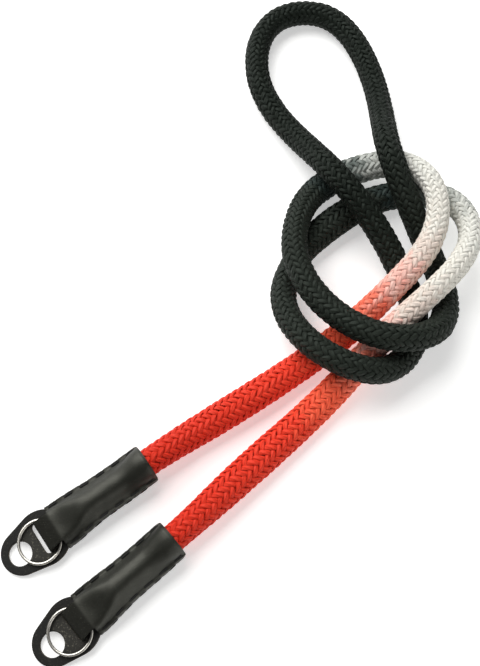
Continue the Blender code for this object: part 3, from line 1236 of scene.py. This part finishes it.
@dataclass
class Lie:
    """The rope's middle line as it lies, point by point, and how its round section is spread there."""

    middle: np.ndarray
    share: np.ndarray
    along: np.ndarray
    seen: np.ndarray
    wide: np.ndarray
    high: np.ndarray

    def __post_init__(self) -> None:
        """Works out the section's directions: two that turn with the line, one level and one upward."""
        forward = tangents(self.middle)
        self.normal = steady_normals(self.middle)
        self.other = np.cross(forward, self.normal)
        self.level = unit(np.cross((0.0, 0.0, 1.0), forward))
        self.upward = np.cross(forward, self.level)

    def spread(self, angle: np.ndarray, radius: np.ndarray) -> np.ndarray:
        """Offsets from the middle line, widened to the sides where the rope swells.

        Args:
            angle: The turn about the line at each point.
            radius: The distance from the line at each point.

        Returns:
            The offset at each point.
        """
        out = radius[:, None] * (np.cos(angle)[:, None] * self.normal + np.sin(angle)[:, None] * self.other)
        aside = np.sum(out * self.level, axis=1, keepdims=True) * self.level
        up = np.sum(out * self.upward, axis=1, keepdims=True) * self.upward
        return aside * self.wide[:, None] + up * self.high[:, None]


@dataclass
class Rope:
    """The round braid of 24 strands on a soft core, two over and two under."""

    first: Sleeve
    last: Sleeve
    carriers: int = 24
    lay: float = 31.4 * MM
    step: float = 0.5 * MM
    strand_w: float = 1.95 * MM
    strand_h: float = 1.15 * MM
    strand_sides: int = 8
    weave: float = 0.46 * MM
    snap: float = 1.7
    tuck: float = 0.06
    wander: float = 0.014
    wander_waves: tuple[float, ...] = (9.0, 15.0, 31.0)
    drift: float = 0.08 * MM
    drift_waves: tuple[float, ...] = (7.0, 12.0, 23.0)
    uneven: float = 0.09
    core_inset: float = 1.35 * MM
    core_sides: int = 14
    core_every: int = 2
    plain_width: float = 9.45 * MM
    flattening: float = 0.45

    def _inside(self, sleeve: Sleeve) -> np.ndarray:
        """The rope's line inside a sleeve, from its end out to the mouth.

        Args:
            sleeve: The sleeve.

        Returns:
            Points as x, y, z and radius share.
        """
        x = np.linspace(sleeve.grip, 0.6 * MM, 24)
        centre = sleeve.end.to_strap(np.stack([x, 0 * x, sleeve.seam(x)], axis=-1))
        share = (sleeve.seam(x) - LEATHER - GAP) / (ROPE_D / 2)
        return np.column_stack([centre, share])

    def line(self) -> np.ndarray:
        """The rope's middle line from end to end, with its radius share.

        Returns:
            Points an even step apart, as x, y, z and share.
        """
        lying = ROPE_D / 2
        route = [(x * MM, y * MM, lift * MM + lying) for x, y, lift in ROUTE]
        mouths = [e.to_strap(np.array((0, 0, MOUTH_R))) for e in (self.first.end, self.last.end)]
        points = np.array([mouths[0], *route, mouths[1]])
        free = curve_through(points, -self.first.end.direction(), self.last.end.direction(), 16)
        free = np.column_stack([free, np.ones(len(free))])
        whole = np.concatenate([self._inside(self.first), free, self._inside(self.last)[::-1]])
        return even(whole, self.step)

    def _widths(self, free: np.ndarray, first_half: np.ndarray) -> np.ndarray:
        """How wide the rope lies next to its plain width, by distance from the nearer mouth.

        Args:
            free: That distance, below zero inside a sleeve.
            first_half: Whether lead 1 is the nearer.

        Returns:
            The width's share at each point.
        """
        leads = []
        for column in (1, 2):
            knots = np.array([(row[0] * MM, row[column] * MM, 0.0) for row in GIRTH])
            fine = curve_through(knots, (1.0, 0.0, 0.0), (1.0, 0.0, 0.0), 12)
            leads.append(np.interp(free, fine[:, 0], fine[:, 1]) / self.plain_width)
        return np.where(first_half, *leads)

    def lie(self) -> Lie:
        """How the rope lies: lower where it is wider, and never in the floor.

        Returns:
            The lie.
        """
        line = self.line()
        middle = line[:, :3].copy()
        along = distances(middle)
        total = along[-1]
        free = np.minimum(along, total - along) - self.first.grip
        first_half = along < total / 2
        wide = self._widths(free, first_half)
        high = 1 - self.flattening * np.abs(wide - 1)
        sunk = np.maximum(middle[:, 2] - (1 - high) * ROPE_D / 2, ROPE_D / 2 * high)
        middle[:, 2] = np.where(free > 0, sunk, middle[:, 2])
        seen = np.maximum(free - np.where(first_half, self.first.end.dye_lag, self.last.end.dye_lag), 0.0)
        return Lie(middle, line[:, 3], along, seen, wide, high)

    def build(self, material: bpy.types.Material) -> None:
        """Args:
            material: The dyed yarn.
        """
        lie = self.lie()
        rng = np.random.default_rng(SEED)
        quarter = self.carriers // 4
        for hand in Hand:
            for start in (0, quarter):
                part = Part()
                for index in range(start, start + quarter):
                    self._strand(part, lie, hand, index, rng)
                name = f"braid_{hand.name.lower()}_{1 + start // quarter}"
                show(name, part.mesh(name), material, "rope")
        core = self._core(lie, material)
        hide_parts("rope")
        tuple(self.first.end.to_strap(np.array((0, 0, MOUTH_R))))

    def _strand(self, part: Part, lie: Lie, hand: Hand, index: int, rng: np.random.Generator) -> None:
        """Adds one strand of the braid to a part.

        Args:
            part: Where it goes.
            lie: How the rope lies.
            hand: Which way the strand winds.
            index: Its number among those that wind that way.
            rng: Draws its unevenness and its shade.
        """
        crossing = lie.along / (self.lay / self.carriers)
        angle = 2 * math.pi * (index / (self.carriers // 2) + hand.value * lie.along / self.lay)
        if hand is Hand.RIGHT:
            over = np.cos(math.pi / 2 * (crossing - 0.5 + 2 * index))
        else:
            over = -np.cos(math.pi / 2 * (2 * index - crossing - 0.5))
        over = np.tanh(self.snap * over) / math.tanh(self.snap)
        drift = waves(lie.along, self.drift_waves, rng) / len(self.drift_waves)
        angle = angle + self.wander * waves(lie.along, self.wander_waves, rng)
        depth = self.strand_h / 2 + self.weave * (1 - over)
        out = lie.spread(angle, lie.share * (ROPE_D / 2 - depth + self.drift * drift))
        path = lie.middle + out
        forward = tangents(path)
        side = unit(np.cross(forward, out))
        width = self.strand_w / 2 * lie.share * (1 + self.uneven * drift) * (1 - self.tuck * (1 - over))
        size = np.stack([width, self.strand_h / 2 * lie.share], axis=-1)
        rings = rings_on(path, circle(1.0, self.strand_sides) * size[:, None], side, np.cross(side, forward))
        shade = np.full(len(path), rng.random())
        # dive is how far the strand passes under; the yarn paints it darker there as shade.
        part.add_tube(rings, weave=distances(path) / MM, along=lie.seen, shade=shade, dive=(1 - over) / 2)

    def _core(self, lie: Lie, material: bpy.types.Material) -> bpy.types.Object:
        """The soft core that shows between the strands.

        Args:
            lie: How the rope lies.
            material: The dyed yarn.

        Returns:
            The piece.
        """
        radius = lie.share * (ROPE_D / 2 - self.core_inset)
        turn = 2 * math.pi * np.arange(self.core_sides) / self.core_sides
        rings = np.stack([lie.middle + lie.spread(np.full(len(radius), a), radius) for a in turn], axis=1)
        seen = lie.seen[::self.core_every]
        deep = np.ones(len(seen))
        part = Part()
        # A dive of one paints the whole core darker with the yarn's painted shade.
        part.add_tube(rings[::self.core_every], weave=seen / MM, along=seen, shade=deep / 2, dive=deep)
        return show("rope_core", part.mesh("rope_core"), material, "rope")


@dataclass
class Guard:
    """The egg-shaped leather tab under the ring, with its round hole and the slot for the tongue."""

    end: StrapEnd
    broad_r: float = 9.2 * MM
    tip_r: float = 7.4 * MM
    root_half_w: float = 7.5 * MM
    hole_r: float = 3.9 * MM
    hole_sides: int = 48
    tip_rim: float = 2.5 * MM
    root_bar: float = 3.0 * MM
    root_tuck: float = 0.3 * MM
    slot_w: float = 2.4 * MM
    slot_l: float = 11.1 * MM
    edge_round: float = 0.3 * MM
    grid: float = 1.0 * MM
    weld: float = 0.002 * MM

    def matrix(self) -> Matrix:
        """From the guard's own frame, tip at x = 0 and underside at z = 0, to the strap's."""
        tip = Matrix.Translation((GUARD_TIP_X + self.end.slack, 0, 0))
        return self.end.matrix() @ tip @ Matrix.Rotation(GUARD_TILT, 4, "Y")

    def ring_middle(self) -> tuple[float, float]:
        """Where the ring's middle lies on the guard, in the guard's own frame."""
        return (RING_X - GUARD_TIP_X - self.end.slack) / math.cos(GUARD_TILT), RING_ASIDE

    def egg(self, steps: int = 20) -> list[tuple[float, float]]:
        """The outline round two circles and their tangents, cut straight at the root.

        Args:
            steps: Points for each arc.

        Returns:
            The outline as x and y.
        """
        tip = -self.tip_r
        root_x = -GUARD_L - self.end.slack - self.root_tuck
        broad = root_x + math.sqrt(self.broad_r ** 2 - self.root_half_w ** 2)
        first = math.pi / 2 - math.asin((self.broad_r - self.tip_r) / (tip - broad))
        root = math.acos((root_x - broad) / self.broad_r)
        upper = []
        for middle, radius, start, end in ((tip, self.tip_r, 0.0, first), (broad, self.broad_r, first, root)):
            for i in range(steps + 1):
                a = start + (end - start) * i / steps
                upper.append((middle + radius * math.cos(a), radius * math.sin(a)))
        return upper + [(x, -y) for x, y in reversed(upper[1:])]

    def hole(self) -> list[tuple[float, float]]:
        """The round hole's outline."""
        ring = circle(self.hole_r, self.hole_sides)
        return [(x - self.tip_rim - self.hole_r, y) for x, y in ring.tolist()]

    def slot(self, steps: int = 8) -> list[tuple[float, float]]:
        """The slot's outline, with round ends.

        Args:
            steps: Points for each end.

        Returns:
            The outline as x and y.
        """
        radius = (self.slot_w + self.end.slack) / 2
        middle = -GUARD_L + self.root_bar + radius
        straight = self.slot_l / 2 - radius
        turns = [math.pi * i / steps for i in range(steps + 1)]
        return [
            (middle + side * radius * math.cos(a), side * (straight + radius * math.sin(a)))
            for side in (1, -1) for a in turns
        ]

    def _plate(self, name: str) -> bpy.types.Mesh:
        """The plate with its hole, its slot and its rounded edges, half above and half below z = 0.

        Args:
            name: The mesh's name.

        Returns:
            The mesh.
        """
        data = bpy.data.curves.new(name, "CURVE")
        data.dimensions = "2D"
        data.fill_mode = "BOTH"
        data.extrude = GUARD_T / 2 - self.edge_round
        data.bevel_depth = self.edge_round
        data.bevel_resolution = 2
        data.offset = -self.edge_round
        for outline in (self.egg(), self.hole(), self.slot()):
            spline = data.splines.new("POLY")
            spline.points.add(len(outline) - 1)
            spline.use_cyclic_u = True
            for point, (x, y) in zip(spline.points, outline):
                point.co = (x, y, 0, 1)
        return applied(linked(name, data))

    def _divide(self, bm: bmesh.types.BMesh) -> None:
        """Cuts the plate into small triangles along a grid, so that marks can fade on it.

        Args:
            bm: The plate.
        """
        for axis, low, high in ((0, -GUARD_L, 0.0), (1, -self.broad_r, self.broad_r)):
            across = Vector((0, 0, 0))
            across[axis] = 1
            for place in np.arange(low + self.grid / 2, high, self.grid):
                everything = [*bm.verts, *bm.edges, *bm.faces]
                point = across * float(place)
                bmesh.ops.bisect_plane(bm, geom=everything, dist=TINY, plane_co=point, plane_no=across)
        bmesh.ops.triangulate(bm, faces=bm.faces)

    def _mark(self, bm: bmesh.types.BMesh) -> None:
        """Tells the material where the edge is cut and where the ring rubs, as the attributes cut and rubbed.

        Args:
            bm: The plate, with its underside at z = 0.
        """
        ring_x, ring_y = self.ring_middle()
        cut = bm.verts.layers.float.new("cut")
        rubbed = bm.verts.layers.float.new("rubbed")
        for v in bm.verts:
            level = abs(v.co.z - GUARD_T / 2) / (GUARD_T / 2)
            v[cut] = 1 - smoothstep((level - 0.55) / 0.4)
            off = math.hypot(v.co.x - ring_x, v.co.y - ring_y) / RING_OD
            v[rubbed] = 1 - smoothstep((off - 0.36) / 0.12)

    def build(self, material: bpy.types.Material) -> bpy.types.Object:
        """Cuts the plate, marks it and lays it under the ring.

        Args:
            material: The leather.

        Returns:
            The piece.
        """
        name = f"leather_guard_{self.end.number}"
        mesh = self._plate(name)
        bm = bmesh.new()
        bm.from_mesh(mesh)
        bmesh.ops.remove_doubles(bm, verts=bm.verts, dist=self.weld)
        bmesh.ops.translate(bm, verts=bm.verts, vec=(0, 0, GUARD_T / 2))
        self._divide(bm)
        self._mark(bm)
        bm.to_mesh(mesh)
        bm.free()
        mesh.transform(self.matrix())
        mesh.shade_smooth()
        mesh.set_sharp_from_angle(angle=math.radians(50))
        return show(name, mesh, material, "leather", f"guard_{self.end.number}")


@dataclass
class SplitRing:
    """Two turns of wire: the lower lies on the guard, then a jog leads up to the other."""

    guard: Guard
    jog: float = math.radians(40)
    step: float = math.radians(4)
    end_gap: float = math.radians(2.5)
    split_at: float = math.radians(150)
    wire_sides: int = 16
    wire_square: float = 0.85

    def build(self, material: bpy.types.Material) -> bpy.types.Object:
        """Winds the wire.

        Args:
            material: The steel.

        Returns:
            The piece.
        """
        start = self.end_gap
        stop = 4 * math.pi - self.jog - self.end_gap
        turn = np.linspace(start, stop, round((stop - start) / self.step))
        rise = smoothstep((turn - 2 * math.pi + self.jog) / self.jog)
        a = turn + self.split_at
        out = np.stack([np.cos(a), np.sin(a), 0 * a], axis=-1)
        line = out * (RING_OD - WIRE_W) / 2
        line[:, 2] = WIRE_H / 2 + (WIRE_H + TURN_GAP) * rise
        section = circle(1.0, self.wire_sides)
        section = np.sign(section) * np.abs(section) ** self.wire_square * (WIRE_W / 2, WIRE_H / 2)
        part = Part()
        part.add_tube(rings_on(line, section[::-1], out, np.broadcast_to((0.0, 0.0, 1.0), out.shape)))
        number = self.guard.end.number
        name = f"split_ring_{number}"
        mesh = part.mesh(name)
        mesh.transform(self.guard.matrix() @ Matrix.Translation((*self.guard.ring_middle(), GUARD_T + GAP)))
        mesh.set_sharp_from_angle(angle=math.radians(60))
        return show(name, mesh, material, "ring", f"ring_{number}")


@dataclass
class Studio:
    """A pale floor, soft lights and the camera."""

    aim: tuple[float, float, float] = (0.0474, 0.0774, 0.0)
    elevation: float = math.radians(69)
    distance: float = 0.32
    half_height_px: float = 333
    focal_px: float = 900
    near: float = 0.01
    floor_size: float = 4.0
    ambient: float = 0.12

    def camera(self) -> None:
        """Looks down at the strap at the photograph's angle."""
        data = bpy.data.cameras.new("camera")
        data.sensor_fit = "VERTICAL"
        data.angle = 2 * math.atan(self.half_height_px / self.focal_px)
        data.clip_start = self.near
        made = linked("camera", data)
        back = Vector((0, -math.cos(self.elevation), math.sin(self.elevation)))
        made.location = Vector(self.aim) + back * self.distance
        made.rotation_euler = (math.pi / 2 - self.elevation, 0, 0)
        bpy.context.scene.camera = made

    def floor(self) -> None:
        """The floor that the strap lies on."""
        bm = bmesh.new()
        bmesh.ops.create_grid(bm, x_segments=1, y_segments=1, size=self.floor_size / 2)
        mesh = bpy.data.meshes.new("floor")
        bm.to_mesh(mesh)
        bm.free()
        made = linked("floor", mesh)
        mesh.materials.append(PaleFloor().material())

    def light(self, name: str, at: tuple[float, float, float], size: float, power: float) -> None:
        """A square soft light that faces the strap.

        Args:
            name: Its name.
            at: Its place from the strap's middle, in metres.
            size: Its side, in metres.
            power: Its power, in watts.
        """
        data = bpy.data.lights.new(name, "AREA")
        data.size = size
        data.energy = power
        made = linked(name, data)
        made.location = Vector(self.aim) + Vector(at)
        made.rotation_euler = (-Vector(at)).to_track_quat("-Z", "Y").to_euler()

    def build(self) -> None:
        """Sets the whole studio."""
        scene = bpy.context.scene
        scene.view_settings.view_transform = "Standard"
        world = bpy.data.worlds.new("studio")
        world.use_nodes = True
        background = world.node_tree.nodes["Background"]
        background.inputs["Color"].default_value = srgb("ffffff")
        background.inputs["Strength"].default_value = self.ambient
        scene.world = world
        self.camera()
        self.floor()
        self.light("key", at=(-0.45, 0.65, 0.8), size=1.25, power=21)
        self.light("fill", at=(0.5, -0.55, 0.35), size=0.6, power=2.2)


def main() -> None:
    """Builds the strap's pieces in order, and the studio."""
    logging.basicConfig(level=logging.INFO, format="%(message)s")
    Studio().build()
    leather = SmoothLeather().material()
    flesh = FleshSide().material()
    thread = WaxedThread().material()
    steel = BrightSteel().material()
    sleeves = [Sleeve(END_1), Sleeve(END_2)]
    Rope(*sleeves).build(DyedYarn().material())
    for sleeve in sleeves:
        sleeve.leather(leather)
        sleeve.thread(thread)
        guard = Guard(sleeve.end)
        guard.build(flesh)
        SplitRing(guard).build(steel)


if __name__ == "__main__":
    main()
